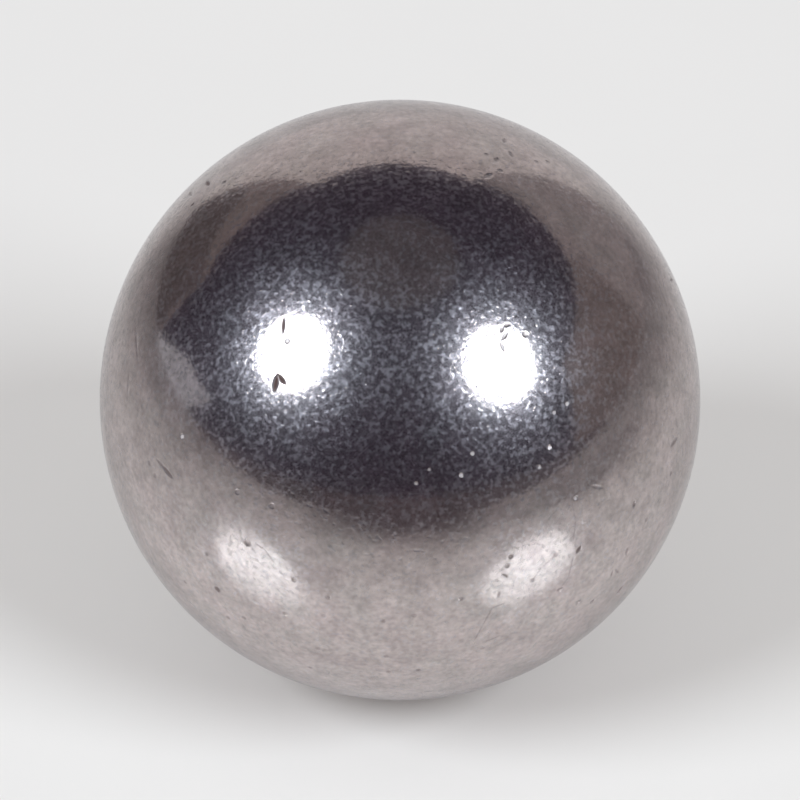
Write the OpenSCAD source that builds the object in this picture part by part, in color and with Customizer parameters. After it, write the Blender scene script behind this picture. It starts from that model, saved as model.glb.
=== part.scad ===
// Solid polished steel ball with the strike, nicks, gouges, dents and chips of long use.
// Millimetres. The origin is the ball's centre, +Z is up and the front faces -Y.
// A place on the ball is [azimuth, elevation] in degrees: azimuth is measured from the front
// towards the right (+X), and elevation is the height above the ball's equator.
// A turn is in degrees too, anticlockwise from straight up as seen from outside the ball.

/* [Ball] */
// Diameter of the ball
ball_d = 25.4; // [12:0.1:60]

/* [V-shaped strike] */
// Length of the long leg
long_leg_len = 0.86; // [0.3:0.02:1.4]
// Width of the long leg where it breaks the surface
long_leg_w = 0.3; // [0.08:0.01:0.5]
// Length of the short leg
short_leg_len = 0.66; // [0.2:0.02:1]
// Width of the short leg where it breaks the surface
short_leg_w = 0.22; // [0.06:0.01:0.4]
// Angle between the two legs
strike_angle = 55; // [30:1:120]
// How far each leg runs past the point where they cross
strike_overrun = 0.08; // [0:0.01:0.15]
// Depth of both legs at their middle
strike_depth = 0.06; // [0.02:0.01:0.1]

/* [Nicks] */
// Width of a nick where it breaks the surface
nick_w = 0.18; // [0.04:0.01:0.3]
// Depth of a nick at its middle
nick_depth = 0.02; // [0.01:0.01:0.06]

/* [Gouges] */
// Width of a gouge where it breaks the surface
gouge_w = 0.28; // [0.1:0.01:0.4]
// Depth of a gouge at its middle
gouge_depth = 0.04; // [0.02:0.01:0.08]

/* [Round dents] */
// Width of the large dents
dent_w = 0.36; // [0.2:0.01:0.8]
// Depth of the large dents
dent_depth = 0.03; // [0.02:0.01:0.1]
// Width of the small dents
pock_w = 0.26; // [0.1:0.01:0.5]
// Depth of the small dents
pock_depth = 0.02; // [0.01:0.01:0.06]

/* [Hidden] */
$fn = 128;

steel = [0.63, 0.60, 0.60];
ball_r = ball_d / 2;

// A groove's V edge and a chip's cutter are this many times as tall as the mark is deep, to clear the surface.
cutter_reach = 3;

// Where the two legs of the V cross, and the turn of the line that halves the V.
STRIKE_AT = [-28.8, 37.2];
STRIKE_TURN = -148;

// Nicks as [azimuth, elevation, turn, length].
NICKS = [
    [-51.4, 11.2, 80, 0.7],
    [-31.7, 45.9, 21, 0.84],
    [26, 43.1, 2, 0.54],
    [27.4, 46.1, -46, 0.34],
    [27.5, 44.8, -58, 0.58],
    [29.1, 46.6, 90, 0.36],
    [39.8, 11.9, 58, 0.7],
    [44.1, -10.3, -7, 0.48],
    [45.5, -10.6, 37, 0.8],
    [19.4, -0.1, 47, 0.5],
    [18.3, -4.4, -15, 0.5]
];

// Gouges as [azimuth, elevation, turn, length].
GOUGES = [
    [-104.3, 44.9, -55, 1],
    [-103.5, 49.8, -56, 0.9],
    [-49.2, 10.6, 74, 1],
    [31.1, -7.6, -84, 0.42],
    [34.7, 0.5, -42, 0.46],
    [40.4, -16, -35, 0.36],
    [47.6, -6.8, -1, 0.56],
    [48.8, 3.7, -21, 0.4],
    [49.2, -18.5, -38, 0.6],
    [63.7, 8.6, -88, 0.86],
    [71, 72.6, 72, 0.54],
    [90.4, 71.9, 77, 0.5],
    [93.6, 26.6, 56, 0.9],
    [100.6, 68.6, -81, 0.52],
    [114.3, 68.2, 54, 0.68]
];

// Large round dents as [azimuth, elevation].
DENTS = [
    [-36.7, -10.4],
    [-29, 4.3],
    [36.3, -13.8]
];

// Small round dents as [azimuth, elevation].
POCKS = [
    [-97.2, 54.9],
    [-95.7, 47.3],
    [-54.7, 9.5],
    [-52.5, 8],
    [-45.9, -13.8],
    [-38.3, -2.2],
    [-35.8, -18.1],
    [-31.9, 13.9],
    [-31.5, -15.8],
    [-29.1, 43.5],
    [-19.3, -27.9],
    [-24.5, 13.4],
    [-21.9, -10.4],
    [-19.6, -1.1],
    [-16.2, -19.2],
    [-14.3, -8.8],
    [-13.2, -3.9],
    [-3.1, -8.7],
    [-2.7, -19.5],
    [-2.4, -25.3],
    [2.6, -7.2],
    [3.7, -24.8],
    [11.2, -3.8],
    [16.3, -19.2],
    [19.8, 2],
    [20.5, 3.9],
    [24.9, -2.9],
    [29.7, 1.4],
    [33, 43.9],
    [52.8, -2.2],
    [61.6, 2.9],
    [80.5, 71],
    [93.8, 73.8],
    [100.2, 63.3],
    [103.5, 60.5]
];

// Chips as [azimuth, elevation, turn, width, depth]; the turn is the way that the floor of the chip sinks.
CHIPS = [
    [-47.1, 18.9, -32, 0.2, 0.06],
    [3.1, 20.8, -38, 0.14, 0.027],
    [5.7, 23.3, -38, 0.14, 0.018],
    [11.9, 21.7, -27, 0.2, 0.03],
    [14.5, 25.4, -26, 0.18, 0.011],
    [27.8, 20, 8, 0.16, 0.016],
    [30.7, 23, 16, 0.2, 0.032],
    [33.5, 28.8, 31, 0.18, 0.007],
    [34.6, 11.6, 16, 0.18, 0.055],
    [37.1, 29.4, 41, 0.18, 0.01]
];

// Radius of the round cutter that leaves a mark of this span and depth.
function cutter_r(span, depth) = (span * span / 4 + depth * depth) / (2 * depth);

// Stands its children on the ball's surface at a place, with +Z outwards and +Y turned from straight up.
module on_ball(azimuth, elevation, turn = 0) {
    rotate([0, 0, azimuth])
        rotate([90 - elevation, 0, 0])
            translate([0, 0, ball_r])
                rotate([0, 0, turn])
                    children();
}

// Cutter for a round dent: a small sphere that dips into the surface.
module dent_cutter(w, depth) {
    r = cutter_r(w, depth);
    translate([0, 0, r - depth])
        sphere(r = r);
}

// Cutter for a groove along Y: a wheel with a V edge that rolls into the surface.
module groove_cutter(len, w, depth) {
    r = cutter_r(len, depth);
    edge = min(cutter_reach * depth, r);
    half_w = edge * w / 2 / depth;
    translate([0, 0, r - depth])
        rotate([0, 90, 0])
            rotate_extrude()
                polygon([[0, -half_w], [r - edge, -half_w], [r, 0], [r - edge, half_w], [0, half_w]]);
}

// Cutter for a chip: a small round flat that starts at the surface and sinks towards +Y.
module chip_cutter(w, depth) {
    translate([0, -w / 2, 0])
        rotate([-atan(depth / w), 0, 0])
            translate([0, w / 2, 0])
                cylinder(d = w, h = cutter_reach * depth);
}

// The V-shaped strike: two grooves that cross near one end of each and open along +Y.
module strike_cutter() {
    rotate([0, 0, strike_angle / 2])
        translate([0, short_leg_len / 2 - strike_overrun, 0])
            groove_cutter(short_leg_len, short_leg_w, strike_depth);
    rotate([0, 0, -strike_angle / 2])
        translate([0, long_leg_len / 2 - strike_overrun, 0])
            groove_cutter(long_leg_len, long_leg_w, strike_depth);
}

// Cutters for one kind of groove, at each [azimuth, elevation, turn, length].
module groove_cutters(places, w, depth) {
    for (place = places)
        on_ball(place[0], place[1], place[2])
            groove_cutter(place[3], w, depth);
}

// Cutters for one kind of round dent, at each [azimuth, elevation].
module dent_cutters(places, w, depth) {
    for (place = places)
        on_ball(place[0], place[1])
            dent_cutter(w, depth);
}

// Cutters for the chips, at each [azimuth, elevation, turn, width, depth].
module chip_cutters(places) {
    for (place = places)
        on_ball(place[0], place[1], place[2])
            chip_cutter(place[3], place[4]);
}

module ball() {
    color(steel)
        difference() {
            sphere(r = ball_r);
            on_ball(STRIKE_AT[0], STRIKE_AT[1], STRIKE_TURN) strike_cutter();
            groove_cutters(NICKS, nick_w, nick_depth);
            groove_cutters(GOUGES, gouge_w, gouge_depth);
            dent_cutters(DENTS, dent_w, dent_depth);
            dent_cutters(POCKS, pock_w, pock_depth);
            chip_cutters(CHIPS);
        }
}

ball();
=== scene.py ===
"""A worn, polished steel ball on a pale table between two round lamps."""

import logging
import math
from dataclasses import dataclass, field, replace
from enum import Enum
from typing import Iterable, Sequence

import bmesh
import bpy
import numpy as np
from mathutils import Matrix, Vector


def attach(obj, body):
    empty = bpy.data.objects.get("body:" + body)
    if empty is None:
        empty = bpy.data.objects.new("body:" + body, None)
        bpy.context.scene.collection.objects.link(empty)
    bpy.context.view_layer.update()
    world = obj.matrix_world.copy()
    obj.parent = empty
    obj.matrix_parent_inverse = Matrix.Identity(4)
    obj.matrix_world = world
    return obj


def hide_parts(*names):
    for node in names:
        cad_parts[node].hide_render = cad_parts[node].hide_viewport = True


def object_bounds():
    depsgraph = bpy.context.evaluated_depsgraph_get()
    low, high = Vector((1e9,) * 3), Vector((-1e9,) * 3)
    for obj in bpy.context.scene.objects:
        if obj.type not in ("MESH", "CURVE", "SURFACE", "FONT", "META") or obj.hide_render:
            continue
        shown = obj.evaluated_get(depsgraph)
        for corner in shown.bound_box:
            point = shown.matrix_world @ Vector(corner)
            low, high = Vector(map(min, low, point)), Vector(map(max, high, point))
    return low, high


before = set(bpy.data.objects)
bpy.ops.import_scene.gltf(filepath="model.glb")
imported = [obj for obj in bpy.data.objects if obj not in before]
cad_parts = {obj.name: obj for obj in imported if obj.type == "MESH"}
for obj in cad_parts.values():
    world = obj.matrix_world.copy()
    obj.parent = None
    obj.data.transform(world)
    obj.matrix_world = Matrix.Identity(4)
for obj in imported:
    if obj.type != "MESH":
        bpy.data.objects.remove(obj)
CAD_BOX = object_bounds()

log = logging.getLogger("steel_ball")

MM = 0.001
RADIUS_MM = (CAD_BOX[1].z - CAD_BOX[0].z) / 2 / MM
NODE = "ball"
DIRT_LAYER = "dirt"
MATT_LAYER = "matt"
BAKE_MAP = "OFBake"

Colour = tuple[float, float, float]


# ---- Places on the ball ----


def direction(azimuth: float, elevation: float) -> np.ndarray:
    """Gives the unit vector towards a place on the ball or in the room.

    Args:
        azimuth: Degrees from the front (-Y) towards the right (+X).
        elevation: Degrees above the horizon.

    Returns:
        The unit vector, as three numbers.
    """
    a, e = math.radians(azimuth), math.radians(elevation)
    return np.array((math.sin(a) * math.cos(e), -math.cos(a) * math.cos(e), math.sin(e)))


# A dent's lip: its height beside the dent's depth, and its place and spread beside the dent's radius.
LIP_SHARE = 0.07
LIP_PLACE = 1.12
LIP_SPREAD = 0.14

# How deep a point lies, beside the mark's depth, when it is fully worn, in a chip and in any other mark.
CHIP_WORN_THROUGH = 0.1
WORN_THROUGH = 0.67


class MarkForm(Enum):
    """The form that a blow or a rub left in the surface."""

    DENT = "round dent with a slightly raised lip"
    GROOVE = "V-bottomed groove that fades out at both ends"
    CHIP = "small round flat that starts at the surface and sinks along its turn"
    HAIRLINE = "long shallow scratch or streak"


@dataclass(frozen=True)
class Mark:
    """One mark in the ball's surface. Sizes are in millimetres and angles in degrees.

    Attributes:
        form: What kind of mark it is.
        azimuth: Where its middle is, from the front towards the right.
        elevation: Where its middle is, above the equator.
        width: Its width where it breaks the surface.
        depth: Its greatest depth.
        length: Its length, for a groove or a hairline.
        turn: The turn of its length, anticlockwise from straight up, seen from outside.
        dirt: How much rust and dirt it holds, from 0 to 1.
        matt: How matt it left the metal, from 0 to 1.
    """

    form: MarkForm
    azimuth: float
    elevation: float
    width: float
    depth: float
    length: float = 0.0
    turn: float = 0.0
    dirt: float = 0.0
    matt: float = 0.0

    def axes(self) -> tuple[np.ndarray, np.ndarray, np.ndarray]:
        """Works out the mark's own directions.

        Returns:
            Its outward, lengthwise and crosswise unit vectors.
        """
        a, e, t = (math.radians(v) for v in (self.azimuth, self.elevation, self.turn))
        outward = direction(self.azimuth, self.elevation)
        right = np.array((math.cos(a), math.sin(a), 0.0))
        up = np.array((-math.sin(a) * math.sin(e), math.cos(a) * math.sin(e), math.cos(e)))
        return outward, up * math.cos(t) - right * math.sin(t), right * math.cos(t) + up * math.sin(t)

    def local(self, unit: np.ndarray, radius: float) -> tuple[np.ndarray, np.ndarray, np.ndarray]:
        """Lays surface points out on the mark's own flat drawing.

        Args:
            unit: Unit vectors towards the points, one a row.
            radius: The ball's radius in millimetres.

        Returns:
            The lengthwise and crosswise places, in millimetres, and whether each point faces the mark.
        """
        outward, along, across = self.axes()
        return unit @ along * radius, unit @ across * radius, unit @ outward > 0

    def worn(self, sunk: np.ndarray) -> np.ndarray:
        """Works out how far the mark wears each point, from 0 to 1.

        Args:
            sunk: The depth at each point, in millimetres.

        Returns:
            The wear at each point.
        """
        full = CHIP_WORN_THROUGH if self.form is MarkForm.CHIP else WORN_THROUGH
        return np.clip(sunk / (self.depth * full), 0, 1)

    def sink(self, unit: np.ndarray, radius: float) -> np.ndarray:
        """Works out how far the mark presses each point in.

        Args:
            unit: Unit vectors towards the points, one a row.
            radius: The ball's radius in millimetres.

        Returns:
            The depth at each point, in millimetres, negative where a lip stands up.
        """
        y, x, facing = self.local(unit, radius)
        half = self.width / 2
        if self.form is MarkForm.DENT:
            r = np.hypot(x, y) / half
            bowl = self.depth * np.clip(1 - r**2, 0, None)
            lip = LIP_SHARE * self.depth * np.exp(-(((r - LIP_PLACE) / LIP_SPREAD) ** 2))
            return np.where(facing, np.where(r < 1, bowl, -lip), 0.0)
        if self.form is MarkForm.CHIP:
            inside = facing & (np.hypot(x, y) < half)
            return np.where(inside, self.depth * (0.5 + y / self.width), 0.0)
        fade = np.clip(1 - (2 * y / self.length) ** 2, 0, None)
        if self.form is MarkForm.GROOVE:
            return np.where(facing, np.clip(self.depth * (fade - np.abs(x) / half), 0, None), 0.0)
        return np.where(facing, self.depth * np.sqrt(fade) * np.exp(-((x / half) ** 2) * 2), 0.0)


def strike(azimuth: float, elevation: float, turn: float) -> list[Mark]:
    """Makes the V-shaped strike: a long and a short groove that cross near one end of each.

    Args:
        azimuth: Where the two legs cross, from the front towards the right.
        elevation: Where the two legs cross, above the equator.
        turn: The turn of the line that halves the V.

    Returns:
        The two grooves.
    """
    depth, opening, overrun = 0.06, 55.0, 0.08
    legs = []
    for side, length, width in ((-1, 0.86, 0.3), (1, 0.66, 0.22)):
        toward = turn + side * opening / 2
        leg = Mark(MarkForm.GROOVE, azimuth, elevation, width, depth, length, toward, dirt=1.0)
        outward, along, _ = leg.axes()
        middle = outward * RADIUS_MM + along * (length / 2 - overrun)
        middle /= np.linalg.norm(middle)
        place = math.degrees(math.atan2(middle[0], -middle[1])), math.degrees(math.asin(middle[2]))
        legs.append(replace(leg, azimuth=place[0], elevation=place[1]))
    return legs


def marks(
    form: MarkForm, figures: Sequence[str], places: Iterable[Sequence[float]], **shared: float
) -> list[Mark]:
    """Makes marks of one form.

    Args:
        form: What kind of marks they are.
        figures: Which of a mark's sizes and angles each figure of a place is.
        places: The figures of each mark.
        **shared: The sizes that they share.

    Returns:
        The marks.
    """
    return [Mark(form, **dict(zip(figures, place)), **shared) for place in places]


# What the figures of each kind of mark are, in order.
SCRATCH_FIGURES = ("azimuth", "elevation", "turn", "length")
GROOVE_FIGURES = (*SCRATCH_FIGURES, "dirt")
DENT_FIGURES = ("azimuth", "elevation", "dirt")
CHIP_FIGURES = ("azimuth", "elevation", "turn", "width", "depth")

NICKS = (
    (-51.4, 11.2, 80, 0.7, 0.6),
    (-31.7, 45.9, 21, 0.84, 0.95),
    (39.8, 11.9, 58, 0.7, 0.3),
    (44.1, -10.3, -7, 0.48, 0.4),
    (45.5, -10.6, 37, 0.8, 0.4),
    (19.4, -0.1, 47, 0.5, 0.45),
    (18.3, -4.4, -15, 0.5, 0.3),
)
MATT_NICKS = (
    (26, 43.1, 2, 0.54, 0.0),
    (27.4, 46.1, -46, 0.34, 0.2),
    (27.5, 44.8, -58, 0.58, 0.0),
    (29.1, 46.6, 90, 0.36, 0.35),
)
GOUGES = (
    (-104.3, 44.9, -55, 1, 0.4),
    (-103.5, 49.8, -56, 0.9, 0.9),
    (-49.2, 10.6, 74, 1, 0.75),
    (31.1, -7.6, -84, 0.42, 0.45),
    (34.7, 0.5, -42, 0.46, 0.8),
    (40.4, -16, -35, 0.36, 0.55),
    (47.6, -6.8, -1, 0.56, 0.45),
    (48.8, 3.7, -21, 0.4, 0.55),
    (49.2, -18.5, -38, 0.6, 0.5),
    (63.7, 8.6, -88, 0.86, 0.36),
    (71, 72.6, 72, 0.54, 0.5),
    (90.4, 71.9, 77, 0.5, 0.35),
    (93.6, 26.6, 56, 0.9, 0.55),
    (100.6, 68.6, -81, 0.52, 0.6),
    (114.3, 68.2, 54, 0.68, 0.55),
)
LARGE_DENTS = ((-36.7, -10.4, 0.72), (-29, 4.3, 0.22), (36.3, -13.8, 0.2))
SMALL_DENTS = (
    (-97.2, 54.9, 0.29),
    (-95.7, 47.3, 0.28),
    (-54.7, 9.5, 0.35),
    (-52.5, 8, 0.4),
    (-45.9, -13.8, 0.33),
    (-38.3, -2.2, 0.4),
    (-35.8, -18.1, 0.33),
    (-31.9, 13.9, 0.44),
    (-31.5, -15.8, 0.35),
    (-24.5, 13.4, 0.54),
    (-21.9, -10.4, 0.33),
    (-19.6, -1.1, 0.27),
    (-19.3, -27.9, 0.3),
    (-16.2, -19.2, 0.25),
    (-14.3, -8.8, 0.32),
    (-13.2, -3.9, 0.4),
    (-3.1, -8.7, 0.43),
    (-2.7, -19.5, 0.36),
    (-2.4, -25.3, 0.3),
    (2.6, -7.2, 0.25),
    (3.7, -24.8, 0.43),
    (11.2, -3.8, 0.4),
    (16.3, -19.2, 0.26),
    (19.8, 2, 0.34),
    (20.5, 3.9, 0.52),
    (24.9, -2.9, 0.26),
    (29.7, 1.4, 0.24),
    (52.8, -2.2, 0.26),
    (61.6, 2.9, 0.42),
    (80.5, 71, 0.42),
    (93.8, 73.8, 0.22),
    (100.2, 63.3, 0.36),
    (103.5, 60.5, 0.12),
)
MATT_DENTS = ((-29.1, 43.5, 0.2), (33, 43.9, 0.0))
CHIPS = (
    (-47.1, 18.9, -32, 0.2, 0.06),
    (3.1, 20.8, -38, 0.14, 0.027),
    (5.7, 23.3, -38, 0.14, 0.018),
    (11.9, 21.7, -27, 0.2, 0.03),
    (14.5, 25.4, -26, 0.18, 0.011),
    (27.8, 20, 8, 0.16, 0.016),
    (30.7, 23, 16, 0.2, 0.032),
    (33.5, 28.8, 31, 0.18, 0.007),
    (34.6, 11.6, 16, 0.18, 0.055),
    (37.1, 29.4, 41, 0.18, 0.01),
)
FINE_SCRATCHES = (
    (-26.4, 4.4, 72, 0.43),
    (-24.3, 2.7, 40, 0.79),
    (14.9, -14.1, -17, 1.04),
    (25.8, -1.7, -35, 0.67),
    (28.2, 0.4, -59, 0.8),
)
SCRATCHES = (
    (16.4, -9.6, -20, 1.06),
    (18.1, -16.5, -71, 0.66),
    (18.5, -7.1, -76, 0.57),
    (31.9, -6.4, -37, 0.58),
    (33.1, -3, -10, 1.06),
    (33.8, 5, -8, 0.88),
    (33.9, 9.2, 6, 1.03),
    (33.9, 13.9, -6, 1.04),
)
STREAKS = ((-60.6, 3.7, 44, 0.7), (-57.5, -15.2, 0, 1.9), (-44.4, -20, 15, 1.6))
NARROW_STREAKS = (
    (-70.7, 25.9, 60, 1.67),
    (-67.6, 18.2, 29, 1.23),
    (-73.2, 6.3, 16, 1.23),
    (-55.9, -13.2, 29, 1.56),
    (-47, -20.8, 64, 1.5),
)

MARKS: list[Mark] = [
    *strike(-28.8, 37.2, -148),
    *marks(MarkForm.GROOVE, GROOVE_FIGURES, NICKS, width=0.18, depth=0.02),
    *marks(MarkForm.GROOVE, GROOVE_FIGURES, MATT_NICKS, width=0.18, depth=0.02, matt=1.0),
    *marks(MarkForm.GROOVE, GROOVE_FIGURES, GOUGES, width=0.28, depth=0.04),
    *marks(MarkForm.DENT, DENT_FIGURES, LARGE_DENTS, width=0.36, depth=0.03),
    *marks(MarkForm.DENT, DENT_FIGURES, SMALL_DENTS, width=0.26, depth=0.02),
    *marks(MarkForm.DENT, DENT_FIGURES, MATT_DENTS, width=0.26, depth=0.02, matt=1.0),
    *marks(MarkForm.CHIP, CHIP_FIGURES, CHIPS, matt=1.0),
    *marks(MarkForm.HAIRLINE, SCRATCH_FIGURES, FINE_SCRATCHES, width=0.08, depth=0.003, dirt=0.27),
    *marks(MarkForm.HAIRLINE, SCRATCH_FIGURES, SCRATCHES, width=0.09, depth=0.004, dirt=0.28),
    *marks(MarkForm.HAIRLINE, SCRATCH_FIGURES, STREAKS, width=0.18, depth=0.008, matt=0.5),
    *marks(MarkForm.HAIRLINE, SCRATCH_FIGURES, NARROW_STREAKS, width=0.16, depth=0.011, matt=0.5),
]


# ---- Nodes ----


@dataclass
class NodeBench:
    """Places and joins nodes in one tree.

    Attributes:
        tree: The node tree that it works on.
    """

    tree: bpy.types.NodeTree

    def add(self, kind: str, **settings: object) -> bpy.types.Node:
        """Places a node.

        Args:
            kind: The node's type name.
            **settings: Properties of the node.

        Returns:
            The new node.
        """
        node = self.tree.nodes.new(kind)
        for name, value in settings.items():
            setattr(node, name, value)
        return node

    def feed(self, target: bpy.types.NodeSocket, value: object) -> None:
        """Joins a socket to another, or sets its own value.

        Args:
            target: The socket that is fed.
            value: The socket that feeds it, or its value.
        """
        if isinstance(value, bpy.types.NodeSocket):
            self.tree.links.new(value, target)
        else:
            target.default_value = value

    def math(self, operation: str, *values: object, clamp: bool = False) -> bpy.types.NodeSocket:
        """Places a Math node.

        Args:
            operation: What it does to its inputs.
            *values: Sockets or numbers for its inputs.
            clamp: Whether the result is held between 0 and 1.

        Returns:
            Its output.
        """
        node = self.add("ShaderNodeMath", operation=operation, use_clamp=clamp)
        for socket, value in zip(node.inputs, values):
            self.feed(socket, value)
        return node.outputs[0]

    def distance(self, x: object, y: object) -> bpy.types.NodeSocket:
        """Places the nodes for how far x and y lead, taken square to each other."""
        squares = self.math("MULTIPLY", x, x), self.math("MULTIPLY", y, y)
        return self.math("SQRT", self.math("ADD", *squares))

    def ramp(
        self, value: object, low: object, high: object, to_low: object = 0.0, to_high: object = 1.0
    ) -> bpy.types.NodeSocket:
        """Places a smooth Map Range node.

        Args:
            value: The value to map.
            low: Where the range starts.
            high: Where the range ends.
            to_low: The result at the start.
            to_high: The result at the end.

        Returns:
            Its output.
        """
        node = self.add("ShaderNodeMapRange", interpolation_type="SMOOTHSTEP")
        names = ("Value", "From Min", "From Max", "To Min", "To Max")
        for name, each in zip(names, (value, low, high, to_low, to_high)):
            self.feed(node.inputs[name], each)
        return node.outputs["Result"]

    def noise(
        self, vector: object, scale: object, detail: object = 0.0, roughness: float = 0.5
    ) -> bpy.types.NodeSocket:
        """Places a Noise Texture.

        Args:
            vector: Where it is read.
            scale: Its scale.
            detail: How many finer layers it has.
            roughness: How strong the finer layers are.

        Returns:
            Its value.
        """
        node = self.add("ShaderNodeTexNoise")
        self.feed(node.inputs["Vector"], vector)
        self.feed(node.inputs["Scale"], scale)
        self.feed(node.inputs["Detail"], detail)
        self.feed(node.inputs["Roughness"], roughness)
        return node.outputs["Fac"]

    def mix(self, factor: object, first: object, second: object, blend: str = "MIX") -> bpy.types.NodeSocket:
        """Places a colour Mix node.

        Args:
            factor: How much of the second colour there is.
            first: The first colour.
            second: The second colour.
            blend: How the second colour goes over the first.

        Returns:
            The mixed colour.
        """
        node = self.add("ShaderNodeMix", data_type="RGBA", blend_type=blend)
        colours = [s for s in node.inputs if s.type == "RGBA"]
        self.feed(node.inputs["Factor"], factor)
        self.feed(colours[0], first)
        self.feed(colours[1], second)
        return next(s for s in node.outputs if s.type == "RGBA")

    def place(self, group: bpy.types.NodeTree, **values: object) -> bpy.types.Node:
        """Places a node group.

        Args:
            group: The group.
            **values: Sockets or numbers for its inputs, with _ for a space in a name.

        Returns:
            The group's node.
        """
        node = self.add("ShaderNodeGroup", node_tree=group)
        for name, value in values.items():
            self.feed(node.inputs[name.replace("_", " ")], value)
        return node

    def close(self, surface: bpy.types.Node, output: str = "ShaderNodeOutputMaterial") -> None:
        """Joins the finished surface to the tree's output."""
        self.feed(self.add(output).inputs["Surface"], surface.outputs[0])


def new_material(name: str) -> tuple[bpy.types.Material, NodeBench]:
    """Starts a material.

    Args:
        name: Its name.

    Returns:
        The material and a bench on its empty tree.
    """
    material = bpy.data.materials.new(name)
    material.use_nodes = True
    material.node_tree.nodes.clear()
    return material, NodeBench(material.node_tree)


def new_group(
    name: str, inputs: dict[str, object], outputs: Iterable[str]
) -> tuple[NodeBench, bpy.types.Node, bpy.types.Node]:
    """Starts a shader node group.

    Args:
        name: The group's name.
        inputs: Each input's name and first value; None stands for a vector.
        outputs: The names of its values.

    Returns:
        A bench on the group, its input node and its output node.
    """
    tree = bpy.data.node_groups.new(name, "ShaderNodeTree")
    for key, value in inputs.items():
        kind = "NodeSocketVector" if value is None else "NodeSocketFloat"
        socket = tree.interface.new_socket(name=key, in_out="INPUT", socket_type=kind)
        if value is not None:
            socket.default_value = value
    for key in outputs:
        tree.interface.new_socket(name=key, in_out="OUTPUT", socket_type="NodeSocketFloat")
    bench = NodeBench(tree)
    return bench, bench.add("NodeGroupInput"), bench.add("NodeGroupOutput")


def grain_group() -> bpy.types.NodeTree:
    """Makes the grain of worn polish: a fine relief, and dust-fine frosting that is denser in patches.

    Returns:
        The group. It puts out the relief's Height, and masks of the patches, the frosting and its grit.
    """
    scales = {"Relief Scale": 5000.0, "Patch Scale": 5000.0, "Dust Scale": 120000.0}
    inputs = {"Vector": None, **scales, "Patchiness": 0.19}
    bench, given, made = new_group("Polishing grain", inputs, ("Height", "Patch", "Frost", "Grit"))
    patch_edge, usual_patch, grit_patchiness = (0.41, 0.70), 0.37, 0.1
    frost_edge, grit_edge = (0.49, 0.54), (0.63, 0.69)
    where = given.outputs["Vector"]
    relief = bench.noise(where, given.outputs["Relief Scale"], detail=1.0)
    shifted = bench.add("ShaderNodeVectorMath", operation="ADD")
    bench.feed(shifted.inputs[0], where)
    shifted.inputs[1].default_value = (0.31, 0.17, 0.23)
    patches = bench.noise(shifted.outputs[0], given.outputs["Patch Scale"], detail=2.0)
    dust = bench.noise(where, given.outputs["Dust Scale"])
    patch = bench.ramp(patches, *patch_edge)
    offset = bench.math("SUBTRACT", patch, usual_patch)
    frosting = bench.math("MULTIPLY_ADD", offset, given.outputs["Patchiness"], dust)
    grit = bench.math("MULTIPLY_ADD", offset, grit_patchiness, dust)
    strength = bench.ramp(patch, 0.4, 1.0, 0.3, 1.8)
    bench.feed(made.inputs["Height"], bench.math("MULTIPLY", bench.math("SUBTRACT", relief, 0.5), strength))
    bench.feed(made.inputs["Patch"], patch)
    bench.feed(made.inputs["Frost"], bench.ramp(frosting, *frost_edge))
    bench.feed(made.inputs["Grit"], bench.ramp(grit, *grit_edge))
    return bench.tree


def scratch_group() -> bpy.types.NodeTree:
    """Makes fine random scratches that run in several directions.

    Returns:
        The group, with Height and Line as its outputs.
    """
    inputs = {"Vector": None, "Scale": 1500.0, "Stretch": 0.08, "Width": 0.01}
    bench, given, made = new_group("Fine scratches", inputs, ("Height", "Line"))
    turns = ((1, 0.2, 0.1), 0.5), ((0.1, 1, 0.4), 1.3), ((0.5, 0.3, 1), 2.2), ((1, -1, 0.6), 2.9)
    line: object = 0.0
    for axis, angle in turns:
        turned = bench.add("ShaderNodeVectorRotate", rotation_type="AXIS_ANGLE")
        bench.feed(turned.inputs["Vector"], given.outputs["Vector"])
        turned.inputs["Axis"].default_value = axis
        turned.inputs["Angle"].default_value = angle
        squeeze = bench.add("ShaderNodeCombineXYZ")
        bench.feed(squeeze.inputs["X"], 1.0)
        bench.feed(squeeze.inputs["Y"], given.outputs["Stretch"])
        bench.feed(squeeze.inputs["Z"], 1.0)
        drawn = bench.add("ShaderNodeVectorMath", operation="MULTIPLY")
        bench.feed(drawn.inputs[0], turned.outputs[0])
        bench.feed(drawn.inputs[1], squeeze.outputs[0])
        value = bench.noise(drawn.outputs[0], given.outputs["Scale"], detail=1.0)
        off = bench.math("ABSOLUTE", bench.math("SUBTRACT", value, 0.5))
        thin = bench.ramp(off, 0.0, given.outputs["Width"], 1.0, 0.0)
        cloud = bench.noise(turned.outputs[0], bench.math("MULTIPLY", given.outputs["Scale"], 0.2))
        line = bench.math("MAXIMUM", line, bench.math("MULTIPLY", thin, bench.ramp(cloud, 0.58, 0.68)))
    bench.feed(made.inputs["Height"], bench.math("MULTIPLY", line, -1.0))
    bench.feed(made.inputs["Line"], line)
    return bench.tree


def haze_group() -> bpy.types.NodeTree:
    """Makes the soft cloudy unevenness of a handled surface.

    Returns:
        The group, with Haze as its output, from 0 to 1.
    """
    bench, given, made = new_group(
        "Haze", {"Vector": None, "Scale": 150.0, "Detail": 5.0, "Contrast": 1.0}, ("Haze",)
    )
    cloud = bench.noise(given.outputs["Vector"], given.outputs["Scale"], given.outputs["Detail"], 0.6)
    centred = bench.math("MULTIPLY", bench.math("SUBTRACT", cloud, 0.5), given.outputs["Contrast"])
    bench.feed(made.inputs["Haze"], bench.math("ADD", centred, 0.5, clamp=True))
    return bench.tree


@dataclass(frozen=True)
class Effects:
    """The shared surface effects.

    Attributes:
        grain: Fine relief and frosting.
        scratches: Fine random scratches.
        haze: Cloudy unevenness.
    """

    grain: bpy.types.NodeTree
    scratches: bpy.types.NodeTree
    haze: bpy.types.NodeTree


# ---- Finishes ----


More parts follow.
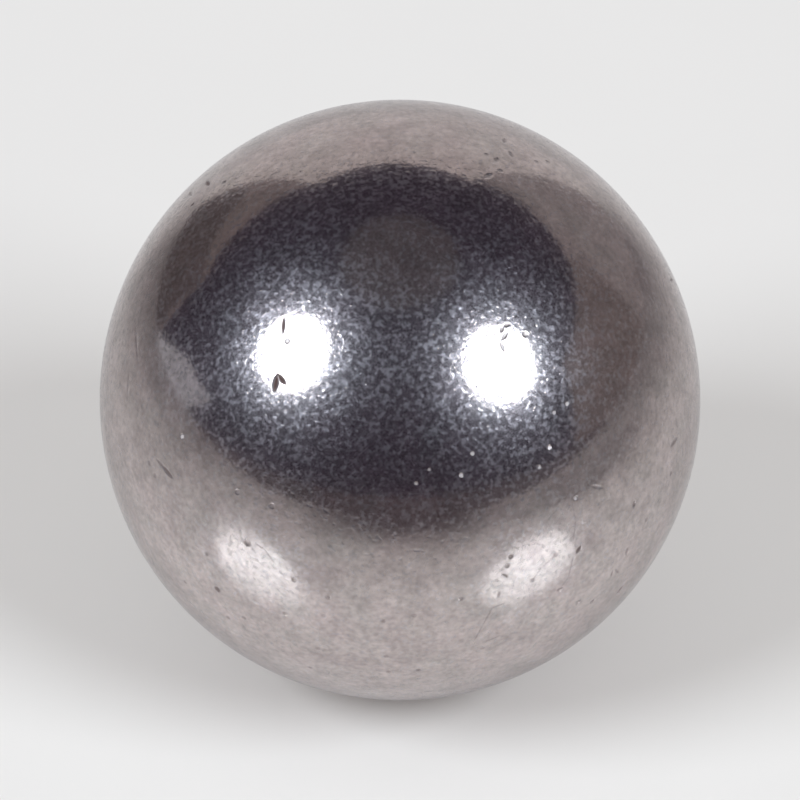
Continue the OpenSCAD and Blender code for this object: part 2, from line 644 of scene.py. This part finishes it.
@dataclass(frozen=True)
class WornSteel:
    """Polished bearing steel that has been rolled, dropped and handled.

    Attributes:
        colour: The metal as a whole.
        frost_colour: The metal where fine frosting scatters the light.
        grit_colour: The metal where the frosting is coarse.
        dirt_colour: The rust and dirt in the marks.
        lean_thin: How far the bare metal leans away from the frosting's colour where that is thin.
        lean_dense: How far it leans where the frosting is dense.
        mottle: How far the fine mottling lightens and darkens the metal.
        cloud: How far the coarse mottling does.
        blush: How far the metal turns pinkish or greenish.
        gloss: The roughness of the best polished parts.
        haze_rough: What haze adds to the roughness.
        frost_rough: What fine frosting adds to the roughness.
        grit_rough: What coarse frosting adds to that.
        line_rough: What a scratch adds to the roughness.
        dirt_rough: What dirt adds to the roughness.
        dirt_cover: How far dirt hides the metal.
        matt_rough: The roughness of a matt mark.
        grain_depth: How deep the grain is, in metres.
        scratch_depth: How deep the fine scratches are, in metres.
    """

    colour: Colour = (0.571, 0.502, 0.492)
    frost_colour: Colour = (0.54, 0.498, 0.545)
    grit_colour: Colour = (0.505, 0.505, 0.55)
    dirt_colour: Colour = (0.10, 0.055, 0.05)
    lean_thin: float = 0.3
    lean_dense: float = 2.0
    mottle: float = 0.32
    cloud: float = 0.25
    blush: float = 0.03
    gloss: float = 0.08
    haze_rough: float = 0.02
    frost_rough: float = 0.185
    grit_rough: float = 0.18
    line_rough: float = 0.05
    dirt_rough: float = 0.35
    dirt_cover: float = 0.7
    matt_rough: float = 0.45
    grain_depth: float = 1e-5
    scratch_depth: float = 5e-7

    def metal_colour(
        self, bench: NodeBench, effects: Effects, grain: bpy.types.Node
    ) -> bpy.types.NodeSocket:
        """Works out the colour of the bare metal.

        Between the frosting the metal is warmer than its average, and the more so where the frosting is
        dense, so that patches of frosting do not show as patches of colour.

        Args:
            bench: The bench on the material.
            effects: The shared surface effects.
            grain: The placed grain group.

        Returns:
            The colour.
        """
        gap = [c - f for c, f in zip(self.colour, self.frost_colour)]
        thin = (*(c + self.lean_thin * g for c, g in zip(self.colour, gap)), 1)
        dense = (*(c + self.lean_dense * g for c, g in zip(self.colour, gap)), 1)
        colour = bench.mix(grain.outputs["Patch"], thin, dense)
        colour = bench.mix(grain.outputs["Frost"], colour, (*self.frost_colour, 1))
        colour = bench.mix(grain.outputs["Grit"], colour, (*self.grit_colour, 1))
        where = bench.add("ShaderNodeTexCoord").outputs["Object"]
        pink = (1 + self.blush, 1 - self.blush / 3, 1.0, 1)
        green = (1 - self.blush, 1 + self.blush / 3, 1.0, 1)
        for scale, low, high in (
            (4000.0, (*(1 - self.mottle,) * 3, 1), (*(1 + self.mottle,) * 3, 1)),
            (950.0, (*(1 - self.cloud,) * 3, 1), (*(1 + self.cloud,) * 3, 1)),
            (700.0, pink, green),
        ):
            haze = bench.place(effects.haze, Vector=where, Scale=scale, Detail=1.0, Contrast=1.0)
            colour = bench.mix(1.0, colour, bench.mix(haze.outputs["Haze"], low, high), "MULTIPLY")
        return colour

    def material(self, effects: Effects) -> bpy.types.Material:
        """Builds the material.

        Args:
            effects: The shared surface effects.

        Returns:
            The material.
        """
        material, bench = new_material("worn_polished_steel")
        where = bench.add("ShaderNodeTexCoord").outputs["Object"]
        dirt = bench.add("ShaderNodeAttribute", attribute_name=DIRT_LAYER).outputs["Fac"]
        matt = bench.add("ShaderNodeAttribute", attribute_name=MATT_LAYER).outputs["Fac"]
        grain = bench.place(effects.grain, Vector=where)
        scratches = bench.place(effects.scratches, Vector=where, Scale=1500.0, Stretch=0.08, Width=0.01)
        haze = bench.place(effects.haze, Vector=where, Scale=170.0, Detail=5.0, Contrast=1.6)

        shader = bench.add("ShaderNodeBsdfPrincipled")
        bench.feed(shader.inputs["Metallic"], bench.math("MULTIPLY_ADD", dirt, -self.dirt_cover, 1.0))
        colour = bench.mix(dirt, self.metal_colour(bench, effects, grain), (*self.dirt_colour, 1))
        bench.feed(shader.inputs["Base Color"], colour)

        rough: object = self.gloss
        for mask, added in (
            (haze.outputs["Haze"], self.haze_rough),
            (grain.outputs["Frost"], self.frost_rough),
            (grain.outputs["Grit"], self.grit_rough),
            (scratches.outputs["Line"], self.line_rough),
            (dirt, self.dirt_rough),
        ):
            rough = bench.math("MULTIPLY_ADD", mask, added, rough)
        change = bench.math("SUBTRACT", self.matt_rough, rough)
        bench.feed(shader.inputs["Roughness"], bench.math("MULTIPLY_ADD", matt, change, rough))

        fine = bench.add("ShaderNodeBump")
        bench.feed(fine.inputs["Height"], grain.outputs["Height"])
        fine.inputs["Distance"].default_value = self.grain_depth
        lines = bench.add("ShaderNodeBump")
        bench.feed(lines.inputs["Height"], scratches.outputs["Height"])
        bench.feed(lines.inputs["Normal"], fine.outputs["Normal"])
        lines.inputs["Distance"].default_value = self.scratch_depth
        bench.feed(shader.inputs["Normal"], lines.outputs["Normal"])
        bench.close(shader)
        return material


@dataclass(frozen=True)
class PaleTable:
    """Smooth pale card with a faint gloss.

    Attributes:
        colour: Its colour.
        uneven: How much darker its colour is where haze lies.
        gloss_share: How much of the light it mirrors.
        gloss_rough: How soft its mirror images are.
        gloss_near: Where its gloss starts, away from the ball's foot, in ball radii.
        gloss_far: Where its gloss is full.
    """

    colour: Colour = (0.90, 0.845, 0.81)
    uneven: float = 0.03
    gloss_share: float = 0.17
    gloss_rough: float = 0.12
    gloss_near: float = 1.0
    gloss_far: float = 2.6

    def material(self, effects: Effects, radius: float) -> bpy.types.Material:
        """Builds the material.

        Args:
            effects: The shared surface effects.
            radius: The ball's radius in metres.

        Returns:
            The material.
        """
        material, bench = new_material("pale_table")
        where = bench.add("ShaderNodeTexCoord").outputs["Object"]
        haze = bench.place(effects.haze, Vector=where, Scale=60.0, Detail=5.0, Contrast=1.0).outputs["Haze"]
        matt = bench.add("ShaderNodeBsdfDiffuse")
        hazed = (*(c * (1 - self.uneven) for c in self.colour), 1)
        bench.feed(matt.inputs["Color"], bench.mix(haze, (*self.colour, 1), hazed))
        away = bench.add("ShaderNodeVectorMath", operation="LENGTH")
        bench.feed(away.inputs[0], where)
        near, far = self.gloss_near * radius, self.gloss_far * radius
        gloss = bench.add("ShaderNodeBsdfAnisotropic")
        gloss.inputs["Color"].default_value = (1, 1, 1, 1)
        gloss.inputs["Roughness"].default_value = self.gloss_rough
        both = bench.add("ShaderNodeMixShader")
        bench.feed(both.inputs["Fac"], bench.ramp(away.outputs["Value"], near, far, 0.0, self.gloss_share))
        bench.feed(both.inputs[1], matt.outputs[0])
        bench.feed(both.inputs[2], gloss.outputs[0])
        bench.close(both)
        return material


def glow(name: str, low: Colour, high: Colour | None = None, top: float = 1.0) -> bpy.types.Material:
    """Makes the glow of a card that the steel mirrors.

    Args:
        name: The material's name.
        low: The light that its foot sends, where 1 is white.
        high: The light that its top sends, if it differs.
        top: The height of its top, in metres.

    Returns:
        The material.
    """
    material, bench = new_material(name)
    material.cycles.emission_sampling = "NONE"
    light = bench.add("ShaderNodeEmission")
    if high is None:
        light.inputs["Color"].default_value = (*low, 1)
    else:
        place = bench.add("ShaderNodeSeparateXYZ")
        bench.feed(place.inputs[0], bench.add("ShaderNodeTexCoord").outputs["Object"])
        height = bench.ramp(place.outputs["Z"], 0.0, top)
        bench.feed(light.inputs["Color"], bench.mix(height, (*low, 1), (*high, 1)))
    bench.close(light)
    return material


@dataclass(frozen=True)
class TableShade:
    """The way the table darkens away from the ball, as the steel mirrors it. Lengths are in ball radii.

    Attributes:
        colour: The light that the fully shaded table sends.
        half_way: How far the side shading takes to reach half its strength.
        steepness: How sharply it sets in.
        sides: The greatest strength of the side shading.
        back: The share of the side shading that is left behind the ball.
        back_edge: Where it falls to that, as sines of the way round from the side to the back.
        front_near: Where the front edge of the pale sheet starts to darken.
        front_far: Where it is fully dark.
        crease: The strength of the curved crease of shade to the front right.
        crease_away: How far the crease is from the ball's foot.
        crease_width: How far to either side it fades out.
        crease_end: Where it sets in, as the sine plus the cosine of the way round from the front.
        pools: Soft round pools of shade, each as x, y, inner radius, outer radius and strength.
    """

    colour: Colour = (0.078, 0.060, 0.066)
    half_way: float = 4.8
    steepness: float = 2.1
    sides: float = 0.80
    back: float = 0.42
    back_edge: tuple[float, float] = (0.75, 0.92)
    front_near: float = 7.8
    front_far: float = 9.2
    crease: float = 0.45
    crease_away: float = 5.3
    crease_width: float = 0.6
    crease_end: tuple[float, float] = (1.15, 1.32)
    pools: tuple[tuple[float, ...], ...] = (
        (0.4, -8.5, 1.8, 6.1, 1.0),
        (7.1, -2.7, 2.3, 3.9, 0.42),
        (0.0, -0.35, 0.0, 1.75, 0.23),
    )

    def material(self, radius: float) -> bpy.types.Material:
        """Builds the material.

        Args:
            radius: The ball's radius in metres.

        Returns:
            The material.
        """
        material, bench = new_material("table_shade")
        material.cycles.emission_sampling = "NONE"
        place = bench.add("ShaderNodeSeparateXYZ")
        bench.feed(place.inputs[0], bench.add("ShaderNodeTexCoord").outputs["Object"])
        x = bench.math("DIVIDE", place.outputs["X"], radius)
        y = bench.math("DIVIDE", place.outputs["Y"], radius)
        away = bench.distance(x, y)
        growth = bench.math("POWER", bench.math("DIVIDE", away, self.half_way), self.steepness)
        fall = bench.math("DIVIDE", growth, bench.math("ADD", growth, 1.0))
        backward = bench.math("DIVIDE", y, away)
        behind = bench.ramp(backward, *self.back_edge, self.sides, self.sides * self.back)
        clear = bench.math("SUBTRACT", 1.0, bench.math("MULTIPLY", fall, behind))
        for pool_x, pool_y, inner, outer, strength in self.pools:
            gap = bench.distance(bench.math("SUBTRACT", x, pool_x), bench.math("SUBTRACT", y, pool_y))
            clear = bench.math("MULTIPLY", clear, bench.ramp(gap, inner, outer, 1.0 - strength, 1.0))
        clear = bench.math("MULTIPLY", clear, bench.ramp(y, -self.front_far, -self.front_near))
        side = bench.math("DIVIDE", bench.math("SUBTRACT", x, y), away)
        reach = bench.ramp(side, *self.crease_end, 0.0, self.crease)
        gap = bench.math("ABSOLUTE", bench.math("SUBTRACT", away, self.crease_away))
        line = bench.math("MULTIPLY", reach, bench.ramp(gap, 0.0, self.crease_width, 1.0, 0.0))
        clear = bench.math("MULTIPLY", clear, bench.math("SUBTRACT", 1.0, line))
        shade = bench.add("ShaderNodeEmission")
        shade.inputs["Color"].default_value = (*self.colour, 1)
        both = bench.add("ShaderNodeMixShader")
        bench.feed(both.inputs["Fac"], clear)
        bench.feed(both.inputs[1], shade.outputs[0])
        bench.feed(both.inputs[2], bench.add("ShaderNodeBsdfTransparent").outputs[0])
        bench.close(both)
        return material


# ---- The ball ----

# The sides of the cube that the round grid is blown up from, each as its way out, right and up.
CUBE_SIDES = (
    ((0, -1, 0), (1, 0, 0), (0, 0, 1)),
    ((1, 0, 0), (0, 1, 0), (0, 0, 1)),
    ((0, 1, 0), (-1, 0, 0), (0, 0, 1)),
    ((-1, 0, 0), (0, -1, 0), (0, 0, 1)),
    ((0, 0, 1), (1, 0, 0), (0, 1, 0)),
    ((0, 0, -1), (1, 0, 0), (0, -1, 0)),
)


@dataclass
class WornBall:
    """The ball's body: a round grid of near-square faces, refined where the surface is marked.

    Attributes:
        radius: The radius in metres.
        marks: The marks in its surface.
        cells: How many faces lie along each side of the six patches.
        refinements: How many times the faces at a mark are split.
        mark_room: How far a mark's fine faces go from its middle line, beside its width.
        edge_room: How far beyond that they go, beside the length of a face's side.
        island_margin: The gap round a patch in the map, beside the patch.
        piece: The ball's object, once it is built.
    """

    radius: float
    marks: list[Mark]
    cells: int = 96
    refinements: int = 3
    mark_room: float = 0.65
    edge_room: float = 0.6
    island_margin: float = 0.01
    piece: bpy.types.Object = field(init=False)

    def grid(self) -> bpy.types.Mesh:
        """Builds the plain round grid and its map.

        Returns:
            The mesh.
        """
        steps = np.linspace(-1, 1, self.cells + 1)
        s, t = np.meshgrid(steps, steps)
        points, corners, places = [], [], []
        i, j = np.meshgrid(np.arange(self.cells), np.arange(self.cells))
        row = self.cells + 1
        for side, (out, right, up) in enumerate(CUBE_SIDES):
            place = (
                np.array(out)
                + np.tan(s[..., None] * math.pi / 4) * np.array(right)
                + np.tan(t[..., None] * math.pi / 4) * np.array(up)
            )
            points.append((place / np.linalg.norm(place, axis=-1, keepdims=True)).reshape(-1, 3))
            first = (i + j * row).ravel() + side * row**2
            corners.append(np.stack((first, first + 1, first + row + 1, first + row), -1))
            room = 1 - 2 * self.island_margin
            u = (side % 3 + self.island_margin + (s + 1) / 2 * room) / 3
            v = (side // 3 + self.island_margin + (t + 1) / 2 * room) / 2
            places.append(np.stack((u, v), -1).reshape(-1, 2))
        every, quads, map_places = np.concatenate(points), np.concatenate(corners), np.concatenate(places)
        _, kept, merged = np.unique(every.round(7), axis=0, return_index=True, return_inverse=True)
        mesh = bpy.data.meshes.new(NODE + "_body")
        mesh.from_pydata(every[kept] * self.radius, [], merged.ravel()[quads].tolist())
        layer = mesh.uv_layers.new(name=BAKE_MAP)
        layer.data.foreach_set("uv", map_places[quads.ravel()].astype(np.float32).ravel())
        return mesh

    def near_marks(self, points: np.ndarray, margin: float) -> np.ndarray:
        """Tells which points lie at a mark.

        Args:
            points: Points near the surface, one a row, in metres.
            margin: How far beyond a mark still counts, in millimetres.

        Returns:
            True for each such point.
        """
        radius = self.radius / MM
        unit = points / np.linalg.norm(points, axis=1, keepdims=True)
        near = np.zeros(len(points), bool)
        for mark in self.marks:
            y, x, facing = mark.local(unit, radius)
            beyond = np.clip(np.abs(y) - max(mark.length - mark.width, 0) / 2, 0, None)
            near |= facing & (np.hypot(x, beyond) < mark.width * self.mark_room + margin)
        return near

    def refine(self, mesh: bpy.types.Mesh) -> None:
        """Splits the faces at each mark until its form can show.

        Args:
            mesh: The plain grid, which is changed.
        """
        edge = math.pi / 2 * self.radius / MM / self.cells
        work = bmesh.new()
        work.from_mesh(mesh)
        for level in range(self.refinements):
            ends = np.array([(e.verts[0].co[:], e.verts[1].co[:]) for e in work.edges])
            chosen = self.near_marks(ends.mean(1), edge * self.edge_room / 2**level)
            work.edges.ensure_lookup_table()
            split = [e for e, wanted in zip(work.edges, chosen) if wanted]
            bmesh.ops.subdivide_edges(work, edges=split, cuts=1, use_grid_fill=True)
            for vertex in work.verts:
                vertex.co = vertex.co.normalized() * self.radius
        bmesh.ops.triangulate(work, faces=[f for f in work.faces if len(f.verts) > 4])
        work.to_mesh(mesh)
        work.free()

    def press_marks(self, mesh: bpy.types.Mesh) -> None:
        """Presses the marks into the surface and notes the dirt and the mattness at each point.

        Args:
            mesh: The refined grid, which is changed.
        """
        points = np.empty(len(mesh.vertices) * 3, np.float32)
        mesh.vertices.foreach_get("co", points)
        unit = points.reshape(-1, 3).astype(float)
        unit /= np.linalg.norm(unit, axis=1, keepdims=True)
        radius = self.radius / MM
        sink, lift, dirt, matt = np.zeros((4, len(unit)))
        for mark in self.marks:
            depth = mark.sink(unit, radius)
            sink, lift = np.maximum(sink, depth), np.minimum(lift, depth)
            worn = mark.worn(depth)
            dirt, matt = np.maximum(dirt, worn * mark.dirt), np.maximum(matt, worn * mark.matt)
        height = np.where(sink > 0, -sink, -lift)
        placed = unit * ((radius + height) * MM)[:, None]
        mesh.vertices.foreach_set("co", placed.astype(np.float32).ravel())
        for name, values in ((DIRT_LAYER, dirt), (MATT_LAYER, matt)):
            mesh.attributes.new(name, "FLOAT", "POINT").data.foreach_set("value", values.astype(np.float32))

    def build(self) -> bpy.types.Object:
        """Builds the ball and puts it in the frame.

        Returns:
            The ball's object.
        """
        mesh = self.grid()
        self.refine(mesh)
        self.press_marks(mesh)
        mesh.polygons.foreach_set("use_smooth", np.ones(len(mesh.polygons), bool))
        mesh.update()
        self.piece = bpy.data.objects.new("steel_ball", mesh)
        bpy.context.scene.collection.objects.link(self.piece)
        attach(self.piece, "root")
        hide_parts(NODE)
        return self.piece

    def dress(self, finish: WornSteel, effects: Effects) -> None:
        """Gives the ball its finish, with the shared surface effects."""
        self.piece.data.materials.append(finish.material(effects))


# ---- The studio ----


@dataclass(frozen=True)
class RoundLamp:
    """A round diffused lamp, far from the ball for its size.

    Attributes:
        name: Its name.
        azimuth: Where it stands, from the front towards the right.
        elevation: Its height above the horizon, in degrees.
        spread: How wide the ball sees it, in degrees.
        brightness: How bright its face is, where 1 is white.
        tint: The colour of its light.
        distance: How far it stands, in metres.
    """

    name: str
    azimuth: float
    elevation: float
    spread: float = 27.0
    brightness: float = 9.5
    tint: Colour = (0.92, 1.02, 1.09)
    distance: float = 8.0

    def build(self) -> None:
        """Builds the lamp, facing the ball."""
        light = bpy.data.lights.new(self.name, "AREA")
        light.shape = "DISK"
        light.size = 2 * self.distance * math.tan(math.radians(self.spread / 2))
        light.color = self.tint
        light.energy = self.brightness * math.pi * math.pi * light.size**2 / 4
        lamp = bpy.data.objects.new(self.name, light)
        towards = Vector(direction(self.azimuth, self.elevation))
        lamp.location = towards * self.distance
        lamp.rotation_mode = "QUATERNION"
        lamp.rotation_quaternion = towards.to_track_quat("Z", "Y")
        bpy.context.scene.collection.objects.link(lamp)


@dataclass(frozen=True)
class Card:
    """A curved card round the ball, which the steel mirrors and the camera does not see.

    Attributes:
        name: Its name.
        corners: Azimuth and elevation of its corners, in order: low left, low right, high right, high left.
        colour: The light that it sends.
        away: How far it stands, beside the farthest card.
        high_colour: The light that its top sends, if it differs.
        steps: How many faces lie along each edge.
    """

    name: str
    corners: tuple[tuple[float, float], ...]
    colour: Colour
    away: float
    high_colour: Colour | None = None
    steps: int = 16

    def build(self, farthest: float) -> None:
        """Builds the card as a patch between its four corners.

        Args:
            farthest: How far the farthest card stands, in metres.
        """
        distance = farthest * self.away
        low_left, low_right, high_right, high_left = (np.array(c, float) for c in self.corners)
        work = bmesh.new()
        rows = []
        for v in np.linspace(0, 1, self.steps + 1):
            left, right = low_left + (high_left - low_left) * v, low_right + (high_right - low_right) * v
            places = [left + (right - left) * u for u in np.linspace(0, 1, self.steps + 1)]
            rows.append([work.verts.new(direction(*p) * distance) for p in places])
        for lower, upper in zip(rows, rows[1:]):
            for k in range(self.steps):
                work.faces.new((lower[k], lower[k + 1], upper[k + 1], upper[k]))
        top = math.sin(math.radians(max(e for _, e in self.corners))) * distance
        mirrored_only(work, self.name, glow(self.name, self.colour, self.high_colour, top))


def mirrored_only(work: bmesh.types.BMesh, name: str, material: bpy.types.Material) -> bpy.types.Object:
    """Makes a stage object that only mirror-like surfaces see.

    Args:
        work: Its mesh.
        name: Its name.
        material: Its material.

    Returns:
        The object.
    """
    mesh = bpy.data.meshes.new(name)
    work.to_mesh(mesh)
    work.free()
    mesh.materials.append(material)
    card = bpy.data.objects.new(name, mesh)
    card.visible_camera = card.visible_diffuse = card.visible_shadow = False
    card.visible_transmission = card.visible_volume_scatter = False
    bpy.context.scene.collection.objects.link(card)
    return card


# The nearer cards hide what stands behind them.
CARDS = (
    Card(
        "back_sheet",
        ((148, -2), (212, -2), (209, 42), (155, 44)),
        (0.62, 0.60, 0.60),
        away=0.96,
        high_colour=(0.56, 0.53, 0.53),
    ),
    Card("right_board", ((112, -2), (155, -2), (160, 43), (118, 31)), (0.27, 0.247, 0.25), 1.0),
    Card("right_wing", ((66, -2), (118, -2), (118, 31), (76, 24)), (0.165, 0.137, 0.134), 0.98),
    Card("left_board", ((-160, -2), (-114, -2), (-115, 21), (-155, 43)), (0.19, 0.160, 0.158), 1.0),
    Card("left_box", ((-148, -2), (-116, -2), (-116, 20), (-147, 20)), (0.085, 0.068, 0.068), 0.98),
    Card("left_paper", ((-121, -2), (-88, -2), (-78, 8.5), (-96, 9.5)), (0.44, 0.455, 0.51), 0.97),
    Card("ceiling", ((-180, 70), (180, 70), (180, 90), (-180, 90)), (0.078, 0.067, 0.074), 1.0),
)


@dataclass
class Studio:
    """The table, the lamps, the room that the steel mirrors, and the camera.

    Attributes:
        radius: The ball's radius in metres.
        camera_elevation: The camera's height above the horizon, in degrees.
        lens: The camera's focal length in millimetres.
        fill: How much of the picture's half height the ball's radius takes.
        table_radius: How far the table goes, in metres.
        room_distance: How far the dim room's walls are, in metres.
        card_share: How far the farthest card is, beside that.
        shade_lift: How high the mirrored shade lies over the table, beside the ball's radius.
        fill_light: The room's own soft light on the table.
        backdrop: The pale colour behind the table.
    """

    radius: float
    camera_elevation: float = 36.0
    lens: float = 200.0
    fill: float = 0.751
    table_radius: float = 2.0
    room_distance: float = 12.0
    card_share: float = 0.95
    shade_lift: float = 0.005
    fill_light: float = 0.38
    backdrop: Colour = (0.80, 0.79, 0.78)

    def disc(self) -> bmesh.types.BMesh:
        """Makes a flat disc as wide as the table.

        Returns:
            Its mesh.
        """
        work = bmesh.new()
        bmesh.ops.create_circle(work, cap_ends=True, segments=96, radius=self.table_radius)
        return work

    def build_table(self, effects: Effects) -> None:
        """Builds the table top under the ball.

        Args:
            effects: The shared surface effects.
        """
        work = self.disc()
        mesh = bpy.data.meshes.new("table")
        work.to_mesh(mesh)
        work.free()
        mesh.materials.append(PaleTable().material(effects, self.radius))
        table = bpy.data.objects.new("table", mesh)
        table.location.z = -self.radius
        bpy.context.scene.collection.objects.link(table)

    def build_shade(self) -> None:
        """Builds the shading of the table that the steel mirrors."""
        shade = mirrored_only(self.disc(), "table_shade", TableShade().material(self.radius))
        shade.location.z = -self.radius * (1 - self.shade_lift)

    def build_room(self) -> None:
        """Builds the dim room, which hides the pale background from the steel, and the cards in it."""
        work = bmesh.new()
        bmesh.ops.create_uvsphere(work, u_segments=48, v_segments=24, radius=self.room_distance)
        mirrored_only(work, "dim_room", glow("dim_room", (0.034, 0.024, 0.038)))
        for card in CARDS:
            card.build(self.room_distance * self.card_share)

    def light(self) -> None:
        """Builds the two lamps and the pale background, which the camera sees past the dim room."""
        for lamp in (RoundLamp("left_lamp", -57.3, 40.4), RoundLamp("right_lamp", 51.1, 38.7)):
            lamp.build()
            log.info("%s: %.0f degrees wide, brightness %.1f", lamp.name, lamp.spread, lamp.brightness)
        world = bpy.data.worlds.new("studio")
        world.use_nodes = True
        world.node_tree.nodes.clear()
        bench = NodeBench(world.node_tree)
        path = bench.add("ShaderNodeLightPath")
        seen = bench.math("MAXIMUM", path.outputs["Is Camera Ray"], path.outputs["Is Glossy Ray"])
        seen = bench.math("MAXIMUM", seen, path.outputs["Is Transmission Ray"])
        back = bench.add("ShaderNodeBackground")
        bench.feed(back.inputs["Color"], bench.mix(seen, (*(self.fill_light,) * 3, 1), (*self.backdrop, 1)))
        bench.close(back, "ShaderNodeOutputWorld")
        bpy.context.scene.world = world

    def place_camera(self) -> None:
        """Places the camera so that the ball fills the picture as it should."""
        camera = bpy.data.cameras.new("camera")
        camera.lens = self.lens
        half_view = camera.sensor_width / 2 / self.lens
        distance = self.radius / math.sin(math.atan(self.fill * half_view))
        towards = Vector(direction(0, self.camera_elevation))
        holder = bpy.data.objects.new("camera", camera)
        holder.location = towards * distance
        holder.rotation_mode = "QUATERNION"
        holder.rotation_quaternion = towards.to_track_quat("Z", "Y")
        camera.clip_start, camera.clip_end = self.radius, self.table_radius * 4
        bpy.context.scene.collection.objects.link(holder)
        bpy.context.scene.camera = holder
        log.info("camera: %.0f mm from the ball's centre", distance / MM)

    def build(self, effects: Effects) -> None:
        """Builds the whole studio.

        Args:
            effects: The shared surface effects.
        """
        self.build_table(effects)
        self.build_shade()
        self.build_room()
        self.light()
        self.place_camera()
        bpy.context.scene.view_settings.view_transform = "Standard"


def main() -> None:
    """Builds the ball, its finish and the studio."""
    logging.basicConfig(level=logging.INFO, format="%(name)s: %(message)s")
    effects = Effects(grain_group(), scratch_group(), haze_group())
    ball = WornBall(radius=RADIUS_MM * MM, marks=MARKS)
    piece = ball.build()
    ball.dress(WornSteel(), effects)
    triangles = sum(len(p.vertices) - 2 for p in piece.data.polygons)
    log.info("%s: %d marks, %d triangles", piece.name, len(ball.marks), triangles)
    Studio(radius=ball.radius).build(effects)


if __name__ == "__main__":
    main()
